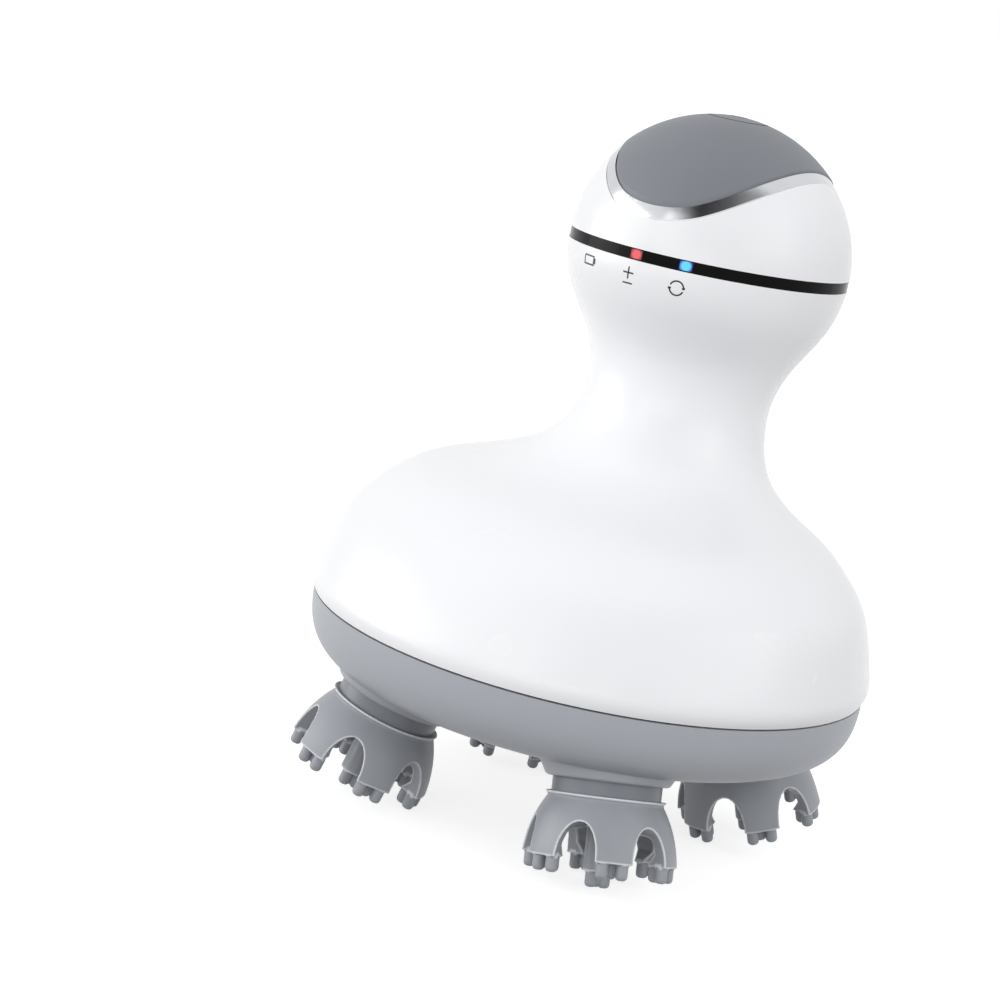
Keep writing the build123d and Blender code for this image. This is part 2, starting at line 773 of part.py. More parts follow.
with BuildPart() as crown_trim:
    with BuildSketch(crown_plane.offset(trim_bottom - 1.0)):
        saddle_outline(trim_half_x, trim_half_y)
        saddle_outline(inner_x, inner_y, mode=Mode.SUBTRACT)
    extrude(amount=crown_height + 5)
    with BuildSketch(crown_section):
        crown_profile(trim_proud, trim_thickness, trim_bottom)
    revolve(axis=crown_axis, mode=Mode.INTERSECT)
save(crown_trim.part, "crown_trim")

with BuildPart() as crown_pad:
    with BuildSketch(crown_section):
        crown_profile(pad_proud, pad_thickness, 0)
    revolve(axis=crown_axis)
    with BuildSketch(crown_plane):
        saddle_outline(inner_x - pad_gap, inner_y - pad_gap)
        Circle(button_radius + button_gap, mode=Mode.SUBTRACT)
    extrude(amount=crown_height + 5, mode=Mode.INTERSECT)
save(crown_pad.part, "crown_pad")

# the button hangs in the carrier, above the switch
carrier_out = -wall - carrier_gap
carrier_inner = crown_height + carrier_out - carrier_thickness
button_flange_radius = button_radius + 1.2
flange_reach = button_flange_radius / (ball_radius + carrier_out - carrier_thickness)
button_flange_top = carrier_inner * math.sqrt(1 - flange_reach**2) - 0.3
button_flange_height = 1.0
button_stem_bottom = button_flange_top - button_flange_height - 1.9
plunger_top = button_stem_bottom - button_travel - 0.3
switch_height = 3.5
switch_board_top = plunger_top - 1.5 - switch_height
switch_board_thickness = 1.2
post_circle = 10.4
post_radius = 1.5

with BuildPart() as pad_carrier:
    with BuildSketch(crown_section):
        crown_profile(carrier_out, carrier_thickness, carrier_bottom)
    revolve(axis=crown_axis)
    with BuildSketch(crown_plane.offset(switch_board_top)):
        with PolarLocations(post_circle, 3, start_angle=90):
            Circle(post_radius)
    extrude(amount=carrier_inner - 1.4 - switch_board_top)
    with BuildSketch(crown_plane):
        Circle(button_radius + button_gap)
    extrude(amount=crown_height, mode=Mode.SUBTRACT)
save(pad_carrier.part, "pad_carrier")

# the sphere that meets the pad's ellipsoid at the top and all round the button's rim
button_top = crown_height + pad_proud
button_crown = button_top * (1 - math.sqrt(1 - (button_radius / (ball_radius + pad_proud)) ** 2))
button_sphere = (button_radius**2 + button_crown**2) / (2 * button_crown)

with BuildPart() as power_button:
    with Locations(crown_plane.offset(button_top - button_sphere)):
        Sphere(button_sphere)
    with BuildSketch(crown_plane.offset(button_flange_top - button_flange_height)):
        Circle(button_radius)
    extrude(amount=crown_height, mode=Mode.INTERSECT)
    with BuildSketch(crown_plane.offset(button_flange_top - button_flange_height)):
        Circle(button_flange_radius)
    extrude(amount=button_flange_height)
    with BuildSketch(crown_plane.offset(button_stem_bottom)):
        Circle(1.7)
    extrude(amount=button_flange_top - button_stem_bottom)
save(power_button.part, "power_button")

with BuildPart() as power_switch:
    with BuildSketch(crown_plane.offset(switch_board_top)):
        Rectangle(6.0, 6.0)
    extrude(amount=switch_height)
    with BuildSketch(crown_plane.offset(switch_board_top + switch_height)):
        Circle(1.7)
    extrude(amount=plunger_top - switch_board_top - switch_height)
save(power_switch.part, "power_switch")

with BuildPart() as switch_board:
    with BuildSketch(crown_plane.offset(switch_board_top - switch_board_thickness)):
        Circle(post_circle + post_radius + 0.5)
    extrude(amount=switch_board_thickness)
save(switch_board.part, "switch_board")

# ---- battery, its cradle and the control board ----

cradle_gap = 0.15
cradle_inner = cell_radius + cradle_gap
cradle_outer = cradle_inner + 1.5
cradle_floor = 1.5
cradle_bottom = motor_bottom + 0.8
cell_z = cradle_bottom + cradle_floor + 0.5
cradle_height = cell_length + 4.0
tab_thickness = 0.3
board_back = cell_y - cradle_outer - 1.8
board_front = board_back - board_thickness
board_bottom = ball_z + 6.5 - board_height
rail_x = 8.8

with BuildPart() as battery_cell:
    with BuildSketch(Plane.XY.offset(cell_z)):
        with Locations((0, cell_y)):
            Circle(cell_radius)
    extrude(amount=cell_length)
    fillet(battery_cell.faces().sort_by(Axis.Z)[0].edges(), 0.8)
    fillet(battery_cell.faces().sort_by(Axis.Z)[-1].edges(), 0.8)
save(battery_cell.part, "battery_cell")

with BuildPart() as battery_tabs:
    for height in (cell_z - tab_thickness, cell_z + cell_length):
        with BuildSketch(Plane.XY.offset(height)):
            with Locations((0, cell_y)):
                SlotOverall(10.0, 5.0)
        extrude(amount=tab_thickness)
save(battery_tabs.part, "battery_tabs")

with BuildPart() as battery_cradle:
    with BuildSketch(Plane.XY.offset(cradle_bottom)):
        with Locations((0, cell_y)):
            Circle(cradle_outer)
            Circle(cradle_inner, mode=Mode.SUBTRACT)
        with Locations((0, cell_y - cradle_outer)):
            Rectangle(13.0, cradle_outer, mode=Mode.SUBTRACT)
    extrude(amount=cradle_height)
    for height in (cradle_bottom, cradle_bottom + cradle_height - cradle_floor):
        with BuildSketch(Plane.XY.offset(height)):
            with Locations((0, cell_y)):
                Circle(cradle_outer)
        extrude(amount=cradle_floor)
    with BuildSketch(Plane.XY.offset(board_bottom + 2)):
        with Locations((-rail_x, board_back), (rail_x, board_back)):
            Rectangle(2.2, cell_y - board_back - 6.0, align=(Align.CENTER, Align.MIN))
    extrude(amount=board_height - 6)
    with BuildSketch(Plane.XY.offset(board_bottom + 2)):
        with Locations((0, cell_y)):
            Circle(cradle_inner)
    extrude(amount=board_height - 6, mode=Mode.SUBTRACT)
save(battery_cradle.part, "battery_cradle")

board_front_plane = Plane(origin=(0, board_front, board_bottom), x_dir=(1, 0, 0), z_dir=(0, -1, 0))
led_z = ball_z + (ball_y - board_front) * math.tan(crown_tilt)
led_angles = [-window_angles["blue"], *window_angles.values()]
led_points = [(guide_inner * math.sin(math.radians(angle)), led_z - board_bottom) for angle in led_angles]

with BuildPart() as control_board:
    with BuildSketch(board_front_plane):
        with Locations((0, board_height / 2)):
            Rectangle(board_width, board_height)
    extrude(amount=-board_thickness)
    with BuildSketch(board_front_plane):
        with Locations((-rail_x, 5.0), (rail_x, 5.0)):
            Circle(0.7)
    extrude(amount=-board_thickness, mode=Mode.SUBTRACT)
save(control_board.part, "control_board")

with BuildPart() as board_chips:
    with BuildSketch(board_front_plane):
        with Locations((0, 12.0)):
            Rectangle(6.0, 5.0)
        with Locations((-6.0, 5.0)):
            Rectangle(3.2, 2.6)
    extrude(amount=1.4)
save(board_chips.part, "board_chips")

with BuildPart() as indicator_leds:
    with BuildSketch(board_front_plane):
        with Locations(*led_points):
            Rectangle(2.0, 1.6)
    extrude(amount=0.8)
save(indicator_leds.part, "indicator_leds")

# ---- charging contacts in the underside ----

block_flange = 1.2
block_top = floor_z + block_flange + 1.2

with BuildPart() as contact_block:
    with BuildSketch(Plane.XY.offset(underside_z)):
        with Locations((0, contact_y)):
            Rectangle(block_size[0] - 0.2, block_size[1] - 0.2)
    extrude(amount=block_top - underside_z)
    with BuildSketch(Plane.XY.offset(floor_z)):
        with Locations((0, contact_y)):
            Rectangle(block_size[0] + 2, block_size[1] + 1.6)
    extrude(amount=block_flange)
    for x in (-contact_pitch / 2, contact_pitch / 2):
        with BuildSketch(Plane.XY.offset(underside_z)):
            with Locations((x, contact_y)):
                Circle(contact_bore_radius)
        extrude(amount=contact_bore_depth, mode=Mode.SUBTRACT)
        with BuildSketch(Plane.XY.offset(underside_z)):
            with Locations((x, contact_y)):
                Circle(contact_bore_radius - 0.5)
        extrude(amount=block_top - underside_z, mode=Mode.SUBTRACT)
save(contact_block.part, "contact_block")

with BuildPart() as charge_contacts:
    with BuildSketch(Plane.XY.offset(underside_z + contact_bore_depth)):
        with Locations((-contact_pitch / 2, contact_y), (contact_pitch / 2, contact_y)):
            Circle(contact_bore_radius - 0.5)
    extrude(amount=block_top + 1.5 - underside_z - contact_bore_depth)
save(charge_contacts.part, "charge_contacts")

# ---- leads: motor to board, and cell to board ----

lead_radius = 0.6


def lead(points, radius):
    """A short insulated lead along straight runs with rounded corners."""
    with BuildPart() as wire:
        with BuildLine() as route:
            FilletPolyline(*points, radius=radius)
        with BuildSketch(Plane(origin=route.line @ 0, z_dir=route.line % 0)):
            Circle(lead_radius)
        sweep(path=route.line)
    return wire.part


motor_top = motor_bottom + motor_length
wire_y = board_back - board_thickness / 2

with BuildPart() as motor_leads:
    for x in (-5.0, 5.0):
        add(lead([(x, -motor_shift, motor_top + 1.7), (x, -motor_shift, motor_top + 2.9),
                  (x, wire_y, motor_top + 8.5), (x, wire_y, board_bottom - 0.05)], 1.0))
save(motor_leads.part, "motor_leads")
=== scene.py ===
"""Looks of the cordless scalp massager. Metres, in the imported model's own frame."""

import json
import math

import bmesh
import bpy
from mathutils import Matrix, Vector
from mathutils.bvhtree import BVHTree
from mathutils.kdtree import KDTree


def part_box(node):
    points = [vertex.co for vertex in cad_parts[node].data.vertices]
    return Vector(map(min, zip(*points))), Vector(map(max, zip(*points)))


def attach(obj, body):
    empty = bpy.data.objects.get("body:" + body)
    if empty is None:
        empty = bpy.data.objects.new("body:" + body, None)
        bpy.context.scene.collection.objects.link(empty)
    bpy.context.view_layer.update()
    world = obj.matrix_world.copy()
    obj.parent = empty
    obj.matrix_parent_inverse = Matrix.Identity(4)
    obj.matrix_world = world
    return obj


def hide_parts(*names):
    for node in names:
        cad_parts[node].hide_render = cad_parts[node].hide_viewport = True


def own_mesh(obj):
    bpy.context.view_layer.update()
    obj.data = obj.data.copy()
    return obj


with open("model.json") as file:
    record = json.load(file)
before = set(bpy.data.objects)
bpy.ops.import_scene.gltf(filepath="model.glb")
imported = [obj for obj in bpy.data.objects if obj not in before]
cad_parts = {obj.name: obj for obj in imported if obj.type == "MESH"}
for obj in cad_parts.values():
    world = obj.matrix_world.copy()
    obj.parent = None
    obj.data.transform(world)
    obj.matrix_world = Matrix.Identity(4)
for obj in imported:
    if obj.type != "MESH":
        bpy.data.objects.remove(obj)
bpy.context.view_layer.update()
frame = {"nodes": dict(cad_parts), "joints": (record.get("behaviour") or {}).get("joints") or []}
nodes = frame["nodes"]
joints = {joint["name"]: joint for joint in frame["joints"]}
head_names = ("front_left", "front_right", "back_left", "back_right")

# the crown leans back a little, by a turn about the X axis, and its centre is the light band's
crown_axis = -Vector(joints["button_press"]["axis"]).normalized()
crown_right = Vector((1, 0, 0))
crown_back = crown_axis.cross(crown_right)
crown_centre = sum(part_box("light_band"), Vector()) / 2

MM = 0.001
white = (1.0, 1.0, 1.0)

# ---- camera ----

camera_place = Vector((268.0, -461.0, 182.0)) * MM
camera_target = Vector((-21.5, -7.5, 62.5)) * MM
camera_roll = math.radians(10.5)
camera_lens = 97.6

forward = (camera_target - camera_place).normalized()
level = forward.cross(Vector((0, 0, 1))).normalized()
upright = level.cross(forward)
across = level * math.cos(camera_roll) + upright * math.sin(camera_roll)
above = upright * math.cos(camera_roll) - level * math.sin(camera_roll)

camera = bpy.data.objects.new("camera", bpy.data.cameras.new("camera"))
camera.data.lens = camera_lens
camera.data.sensor_width = 36.0
camera.data.clip_start = 0.01
camera_turn = Matrix((across, above, -forward)).transposed().to_4x4()
camera.matrix_world = Matrix.Translation(camera_place) @ camera_turn
bpy.context.scene.collection.objects.link(camera)
bpy.context.scene.camera = camera


# ---- materials ----

# the mesh attribute that masks the painted highlight along the silicone's sharp outer edges
highlight_attribute = "edge_highlight_mask"

# nearly all values of a noise texture lie between these two
noise_low = 0.15
noise_high = 0.85


def srgb(red, green, blue):
    """Linear colour from display values of 0 to 255."""
    def linear(value):
        value /= 255.0
        return value / 12.92 if value <= 0.04045 else ((value + 0.055) / 1.055) ** 2.4
    return linear(red), linear(green), linear(blue), 1.0


def tinted(colour, factor):
    return tuple(min(1.0, channel * factor) for channel in colour[:3]) + (1.0,)


def map_range(tree, value, **limits):
    node = tree.nodes.new("ShaderNodeMapRange")
    for limit, number in limits.items():
        node.inputs[limit.replace("_", " ")].default_value = number
    tree.links.new(value, node.inputs["Value"])
    return node.outputs["Result"]


def vector_math(tree, operation, first, second=None):
    """A vector node between a linked input and, for all but LENGTH, a fixed one."""
    node = tree.nodes.new("ShaderNodeVectorMath")
    node.operation = operation
    tree.links.new(first, node.inputs[0])
    if second is not None:
        node.inputs[1].default_value = second
    return node.outputs["Value" if operation in ("LENGTH", "DISTANCE") else "Vector"]


def colour_mix(tree, fac, first, second):
    """A mix of two colours, of which the first may be linked."""
    mix = tree.nodes.new("ShaderNodeMix")
    mix.data_type = "RGBA"
    if isinstance(first, bpy.types.NodeSocket):
        tree.links.new(first, mix.inputs["A"])
    else:
        mix.inputs["A"].default_value = first
    mix.inputs["B"].default_value = second
    tree.links.new(fac, mix.inputs["Factor"])
    return mix.outputs["Result"]


class Finish:
    """A procedural material, built one feature at a time round a Principled shader."""

    def __init__(self, name, colour, roughness, **sockets):
        self.material = bpy.data.materials.new(name)
        self.material.use_nodes = True
        self.tree = self.material.node_tree
        self.shader = self.tree.nodes["Principled BSDF"]
        self.shader.inputs["Base Color"].default_value = colour
        self.shader.inputs["Roughness"].default_value = roughness
        for socket, value in sockets.items():
            self.shader.inputs[socket.replace("_", " ")].default_value = value
        self.place = self.tree.nodes.new("ShaderNodeTexCoord").outputs["Object"]
        self.normal = None

    def noise(self, size, detail=3.0, stretch=None):
        """Noise whose blotches are about size metres across."""
        texture = self.tree.nodes.new("ShaderNodeTexNoise")
        texture.inputs["Scale"].default_value = 1.0 / size
        texture.inputs["Detail"].default_value = detail
        place = self.place
        if stretch:
            mapping = self.tree.nodes.new("ShaderNodeMapping")
            mapping.inputs["Scale"].default_value = stretch
            self.tree.links.new(place, mapping.inputs["Vector"])
            place = mapping.outputs["Vector"]
        self.tree.links.new(place, texture.inputs["Vector"])
        return texture.outputs["Fac"]

    def drift(self, size, detail, stretch, low, high):
        """Noise that is spread to run from low to high."""
        noise = self.noise(size, detail, stretch)
        return map_range(self.tree, noise, From_Min=noise_low, From_Max=noise_high, To_Min=low, To_Max=high)

    def mottle(self, first, second, size, detail=3.0, stretch=None):
        """Colour that drifts between two close shades."""
        drift = self.drift(size, detail, stretch, 0.0, 1.0)
        self.tree.links.new(colour_mix(self.tree, drift, first, second), self.shader.inputs["Base Color"])

    def overlay(self, colour, fac):
        """Another colour over what is there, as far as fac says."""
        base = self.shader.inputs["Base Color"]
        self.tree.links.new(colour_mix(self.tree, fac, base.links[0].from_socket, colour), base)

    def painted_edge_highlight(self, colour):
        """A painted highlight: a paler colour where the mesh's own attribute marks an outer edge."""
        edges = self.tree.nodes.new("ShaderNodeAttribute")
        edges.attribute_name = highlight_attribute
        self.overlay(colour, edges.outputs["Fac"])

    def painted_shade_ring(self, colour, first, full):
        """Painted shade: a darker colour round the crown's axis, from one radius to another."""
        arm = vector_math(self.tree, "SUBTRACT", self.place, crown_centre)
        radius = vector_math(self.tree, "LENGTH", vector_math(self.tree, "CROSS_PRODUCT", arm, crown_axis))
        self.overlay(colour, map_range(self.tree, radius, From_Min=first, From_Max=full))

    def patchy_gloss(self, low, high, size, detail=3.0, stretch=None):
        """Roughness that drifts from low to high."""
        self.tree.links.new(self.drift(size, detail, stretch, low, high), self.shader.inputs["Roughness"])

    def bump(self, size, height, strength=1.0, detail=2.0, stretch=None):
        """Relief of about height metres in blotches of size metres, on top of any earlier relief."""
        node = self.tree.nodes.new("ShaderNodeBump")
        node.inputs["Strength"].default_value = strength
        node.inputs["Distance"].default_value = height
        self.tree.links.new(self.noise(size, detail, stretch), node.inputs["Height"])
        if self.normal:
            self.tree.links.new(self.normal, node.inputs["Normal"])
        self.normal = node.outputs["Normal"]
        self.tree.links.new(self.normal, self.shader.inputs["Normal"])


# moulded plastic: the sizes of its drift in colour, uneven gloss, waves and grain, and the waves' height
colour_size = 30 * MM
gloss_size = 15 * MM
wave_size = 30 * MM
wave_height = 0.006 * MM
grain_size = 0.22 * MM


def moulded(name, colour, roughness, grain=0.0, drift=0.985, **sockets):
    """Moulded plastic: a slight drift in colour, uneven gloss and, if asked, a spark-eroded grain."""
    finish = Finish(name, colour, roughness, **sockets)
    finish.mottle(colour, tinted(colour, drift), colour_size, detail=1.0)
    finish.patchy_gloss(roughness * 0.92, roughness * 1.08, gloss_size, detail=1.0)
    finish.bump(wave_size, wave_height, strength=0.5, detail=1.0)
    if grain:
        finish.bump(grain_size, grain, strength=0.6)
    return finish


def plastic(name, colour, roughness, **choices):
    return moulded(name, colour, roughness, **choices).material


white_plastic = plastic("white_plastic", srgb(240, 240, 242), 0.26, drift=0.997)
grey_plastic = plastic("grey_plastic", srgb(168, 171, 177), 0.42, grain=0.006 * MM)
neck_plastic = plastic("neck_plastic", srgb(122, 125, 132), 0.36)

# painted shade: the groove between the button and the pad is in shade on both its walls, so a dark ring is
# painted on the pad and on the button beside it
pad_colour = srgb(123, 126, 132)
groove_painted_shade = srgb(40, 42, 46)
groove_inner = 5.9 * MM
groove_outer = 6.2 * MM
groove_fade = 0.15 * MM
soft_pad = moulded("soft_pad", pad_colour, 0.5, grain=0.008 * MM)
soft_pad.painted_shade_ring(groove_painted_shade, groove_outer + groove_fade, groove_outer)
button_rubber = moulded("button_rubber", tinted(pad_colour, 0.98), 0.48, grain=0.008 * MM)
button_rubber.painted_shade_ring(groove_painted_shade, groove_inner - groove_fade, groove_inner)

silicone_colour = srgb(154, 157, 163)
silicone = Finish("silicone", silicone_colour, 0.42, Subsurface_Weight=0.04, Subsurface_Scale=1.0 * MM)
silicone.mottle(silicone_colour, tinted(silicone_colour, 0.96), size=4 * MM)
# painted highlight: a pale line along the heads' sharp outer edges
silicone.painted_edge_highlight(srgb(222, 224, 228))
silicone.patchy_gloss(0.36, 0.48, size=2.5 * MM)
silicone.bump(size=0.35 * MM, height=0.004 * MM, strength=0.5)

trim_colour = srgb(214, 216, 220)
trim_metal = Finish("trim_metal", trim_colour, 0.16, Metallic=1.0)
trim_metal.mottle(trim_colour, srgb(206, 208, 212), size=6 * MM)
trim_metal.patchy_gloss(0.13, 0.2, size=2 * MM, stretch=(1, 1, 6))
trim_metal.bump(size=0.3 * MM, height=0.0008 * MM, strength=0.4, stretch=(1, 1, 8))

smoked_plastic = plastic("smoked_plastic", srgb(6, 6, 7), 0.16, Specular_IOR_Level=0.08)
black_nylon = plastic("black_nylon", srgb(30, 31, 33), 0.45, grain=0.01 * MM)
seal_rubber = plastic("seal_rubber", srgb(34, 35, 37), 0.6)
acetal = plastic("acetal", srgb(226, 225, 218), 0.4)
ink = plastic("ink", srgb(14, 14, 16), 0.4)
symbol_ink = plastic("symbol_ink", srgb(52, 54, 58), 0.45)


def metal(name, colour, roughness, stretch=(1, 1, 6)):
    """Bare metal with fine marks, which are narrower along an axis where stretch is larger."""
    finish = Finish(name, colour, roughness, Metallic=1.0)
    finish.mottle(colour, tinted(colour, 0.9), size=3 * MM)
    finish.patchy_gloss(roughness * 0.8, roughness * 1.25, size=1.2 * MM, stretch=stretch)
    finish.bump(size=0.15 * MM, height=0.002 * MM, strength=0.5, stretch=stretch)
    return finish.material


steel = metal("steel", srgb(190, 192, 196), 0.3)
spring_steel = metal("spring_steel", srgb(170, 171, 174), 0.28)
gold = metal("gold", srgb(226, 190, 110), 0.22)
bronze = metal("bronze", srgb(176, 138, 84), 0.4)
sheet_metal = metal("sheet_metal", srgb(176, 178, 182), 0.38, stretch=(6, 1, 1))
cell_sleeve = plastic("cell_sleeve", srgb(38, 92, 140), 0.3)
board_green = plastic("board_green", srgb(22, 84, 48), 0.4)
lead_red = plastic("lead_red", srgb(168, 32, 28), 0.4)


light_half_width = 1.3 * MM
light_core_half_width = 0.6 * light_half_width


def glowing(name, core, rim, centre):
    """A light window that is brightest at its centre and falls to its rim colour at both ends."""
    finish = Finish(name, rim, 0.2, Emission_Strength=1.0)
    distance = vector_math(finish.tree, "DISTANCE", finish.place, centre)
    fade = map_range(finish.tree, distance, From_Min=light_core_half_width, From_Max=light_half_width)
    finish.tree.links.new(colour_mix(finish.tree, fade, core, rim), finish.shader.inputs["Emission Color"])
    return finish.material


finish_of = {
    "body_shell": white_plastic, "crown_shell": white_plastic, "base_housing": grey_plastic,
    "crown_trim": trim_metal.material, "crown_pad": soft_pad.material, "power_button": button_rubber.material,
    "light_band": smoked_plastic, "case_seal": seal_rubber, "neck_seals": seal_rubber,
    "case_screws": steel, "bracket_screws": steel, "drive_clip": steel, "drive_shaft": steel,
    "chassis_plate": black_nylon, "battery_cradle": black_nylon, "pad_carrier": black_nylon,
    "contact_block": black_nylon, "charge_contacts": gold, "spindle_bushes": bronze, "drive_bush": bronze,
    "motor_bracket": sheet_metal, "gearbox_can": sheet_metal, "motor_can": steel, "motor_terminals": gold,
    "battery_tabs": steel, "sun_gear": acetal, "battery_cell": cell_sleeve, "control_board": board_green,
    "switch_board": board_green, "board_chips": ink, "power_switch": ink, "indicator_leds": acetal,
    "motor_leads": lead_red,
}
for head in head_names:
    finish_of[f"{head}_hub"] = neck_plastic
    finish_of[f"{head}_gear"] = acetal
    finish_of[f"{head}_spindle"] = steel
    finish_of[f"{head}_clips"] = steel
    finish_of[f"{head}_spring"] = spring_steel
    finish_of[f"{head}_head"] = silicone.material


def dress(obj, material):
    obj.data.materials.clear()
    obj.data.materials.append(material)


for name, node in nodes.items():
    if name in finish_of:
        dress(node, finish_of[name])

# a light guide's window is its outer end: the vertices that are further from the crown's centre than this
window_from = 26 * MM
for colour, core, rim in (("red", srgb(232, 84, 92), srgb(84, 16, 20)),
                          ("blue", srgb(93, 212, 237), srgb(18, 26, 120))):
    guide = nodes[f"{colour}_light_guide"]
    window = [v.co for v in guide.data.vertices if (v.co - crown_centre).length > window_from]
    dress(guide, glowing(f"{colour}_light", core, rim, sum(window, Vector()) / len(window)))


# ---- silicone heads: the CAD form with the soft, rounded edges of a moulded rubber part ----

voxel = 0.2 * MM
smoothing_passes = 5
smoothing_factor = 0.5
weld_distance = 0.001 * MM

# the painted highlight, a pale line on an outer edge: the least turn that has one, its full and faded half
# widths, its sampling
sharp_turn = math.radians(35)
edge_full = 0.2 * MM
edge_end = 0.45 * MM
edge_step = 0.1 * MM


def evaluated_copy(obj, name):
    """A new object with obj's modifiers worked into its mesh."""
    depsgraph = bpy.context.evaluated_depsgraph_get()
    mesh = bpy.data.meshes.new_from_object(obj.evaluated_get(depsgraph))
    copy = bpy.data.objects.new(name, mesh)
    bpy.context.scene.collection.objects.link(copy)
    return copy


def sharp_edges(mesh):
    """A search tree of points along the mesh's outer corners."""
    shape = bmesh.new()
    shape.from_mesh(mesh)
    bmesh.ops.remove_doubles(shape, verts=shape.verts, dist=weld_distance)
    points = []
    for edge in shape.edges:
        if len(edge.link_faces) == 2 and edge.calc_face_angle_signed(0) > sharp_turn:
            start, end = edge.verts[0].co, edge.verts[1].co
            count = max(1, math.ceil((end - start).length / edge_step))
            points += [start.lerp(end, k / count) for k in range(count + 1)]
    shape.free()
    tree = KDTree(len(points))
    for index, point in enumerate(points):
        tree.insert(point, index)
    tree.balance()
    return tree


def mark_edge_highlight(mesh, edges):
    """The painted highlight's mask: an attribute that is 1 on an outer edge and falls to 0 beside it."""
    marks = []
    for vertex in mesh.vertices:
        distance = edges.find(vertex.co)[2]
        marks.append(min(1.0, max(0.0, (edge_end - distance) / (edge_end - edge_full))))
    mesh.attributes.new(highlight_attribute, "FLOAT", "POINT").data.foreach_set("value", marks)


def rounded(node_name, name, material):
    """A node's form as a new piece with softened edges, which carries the painted edge highlight's attribute.
    """
    raw = bpy.data.objects.new("raw", nodes[node_name].data.copy())
    bpy.context.scene.collection.objects.link(raw)
    remesh = raw.modifiers.new("remesh", "REMESH")
    remesh.mode = "VOXEL"
    remesh.voxel_size = voxel
    smooth = raw.modifiers.new("smooth", "SMOOTH")
    smooth.factor = smoothing_factor
    smooth.iterations = smoothing_passes
    bpy.context.view_layer.update()
    piece = evaluated_copy(raw, name)
    bpy.data.objects.remove(raw)
    piece.data.shade_smooth()
    mark_edge_highlight(piece.data, sharp_edges(nodes[node_name].data))
    dress(piece, material)
    return piece


for head in head_names:
    piece = rounded(f"{head}_head", f"{head}_silicone", silicone.material)
    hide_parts(f"{head}_head")
    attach(piece, f"{head}_plunger")


# ---- springs as smooth-shaded copies, each carried on its head's shaft ----

for head in head_names:
    spring = evaluated_copy(nodes[f"{head}_spring"], f"{head}_coil")
    spring.data.shade_smooth()
    dress(spring, spring_steel)
    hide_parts(f"{head}_spring")
    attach(spring, f"{head}_shaft")
    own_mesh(spring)


# ---- printed signs, raised by the thickness of the ink ----

ink_lift = 0.03 * MM
ink_thickness = 0.02 * MM
casting_distance = 45 * MM

# the signs are drawn flat, in millimetres: strokes of points, whether they close, and a width
stroke = 0.3
cap_stroke = 0.42
arrow_stroke = 0.6
power_stroke = 0.4


def surface_of(node_name):
    mesh = nodes[node_name].data
    return BVHTree.FromPolygons([v.co for v in mesh.vertices], [p.vertices[:] for p in mesh.polygons])


def arc(radius, first, last, steps=28):
    angles = [math.radians(first + (last - first) * k / steps) for k in range(steps + 1)]
    return [(radius * math.cos(t), radius * math.sin(t)) for t in angles]


def dense(points, step=0.15):
    """The polyline's points with more between them, so that a stroke can follow a curved surface."""
    out = [points[0]]
    for (x0, y0), (x1, y1) in zip(points, points[1:]):
        count = max(1, math.ceil(math.hypot(x1 - x0, y1 - y0) / step))
        out += [(x0 + (x1 - x0) * k / count, y0 + (y1 - y0) * k / count) for k in range(1, count + 1)]
    return out


def ribbon(points, width, closed=False):
    """Pairs of points to the left and right of a line, mitred at its corners."""
    points = dense(points + points[:1] if closed else points)
    if closed:
        points = points[:-1]
    count = len(points)
    pairs = []
    for k, (x, y) in enumerate(points):
        before = points[k - 1] if k or closed else None
        after = points[(k + 1) % count] if k < count - 1 or closed else None
        normals = []
        for start, end in ((before, (x, y)), ((x, y), after)):
            if start is not None and end is not None:
                dx, dy = end[0] - start[0], end[1] - start[1]
                length = math.hypot(dx, dy)
                normals.append((-dy / length, dx / length))
        nx = sum(n[0] for n in normals) / len(normals)
        ny = sum(n[1] for n in normals) / len(normals)
        scale = width / 2 / (nx * nx + ny * ny)
        pairs.append(((x + nx * scale, y + ny * scale), (x - nx * scale, y - ny * scale)))
    return pairs


def printed(name, strokes, origin, right, up, inward, surface, body, material):
    """Strokes, in millimetres, laid on a surface by casting them inward from a plane, as one thin piece."""
    shape = bmesh.new()
    for points, closed, width in strokes:
        rows = []
        for pair in ribbon(points, width, closed):
            row = []
            for x, y in pair:
                start = origin + right * (x * MM) + up * (y * MM)
                place, normal, _, _ = surface.ray_cast(start, inward)
                if normal.dot(inward) > 0:
                    normal.negate()
                row.append(shape.verts.new(place + normal * ink_lift))
            rows.append(row)
        for first, second in zip(rows, rows[1:] + rows[:1] if closed else rows[1:]):
            shape.faces.new((first[0], first[1], second[1], second[0]))
    bmesh.ops.recalc_face_normals(shape, faces=shape.faces)
    for face in shape.faces:
        if face.normal.dot(inward) > 0:
            face.normal_flip()
    mesh = bpy.data.meshes.new(name)
    shape.to_mesh(mesh)
    shape.free()
    piece = bpy.data.objects.new(name, mesh)
    bpy.context.scene.collection.objects.link(piece)
    dress(piece, material)
    solid = piece.modifiers.new("ink", "SOLIDIFY")
    solid.thickness = ink_thickness
    solid.offset = -1.0
    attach(piece, body)


body_surface = surface_of("body_shell")

battery_sign = [
    ([(-1.7, -0.85), (1.35, -0.85), (1.35, 0.85), (-1.7, 0.85)], True, stroke),
    ([(1.72, -0.55), (1.72, 0.55)], False, cap_stroke),
]
plus_minus_sign = [
    ([(-1.2, 0.75), (1.2, 0.75)], False, stroke),
    ([(0.0, -0.45), (0.0, 1.95)], False, stroke),
    ([(-1.1, -1.3), (1.1, -1.3)], False, stroke),
]
cycle_radius = 1.4
cycle_sign = [
    (arc(cycle_radius, 8, 160), False, stroke),
    (arc(cycle_radius, 188, 340), False, stroke),
    (arc(cycle_radius, -2, 14, 6), False, arrow_stroke),
    (arc(cycle_radius, 178, 194, 6), False, arrow_stroke),
]

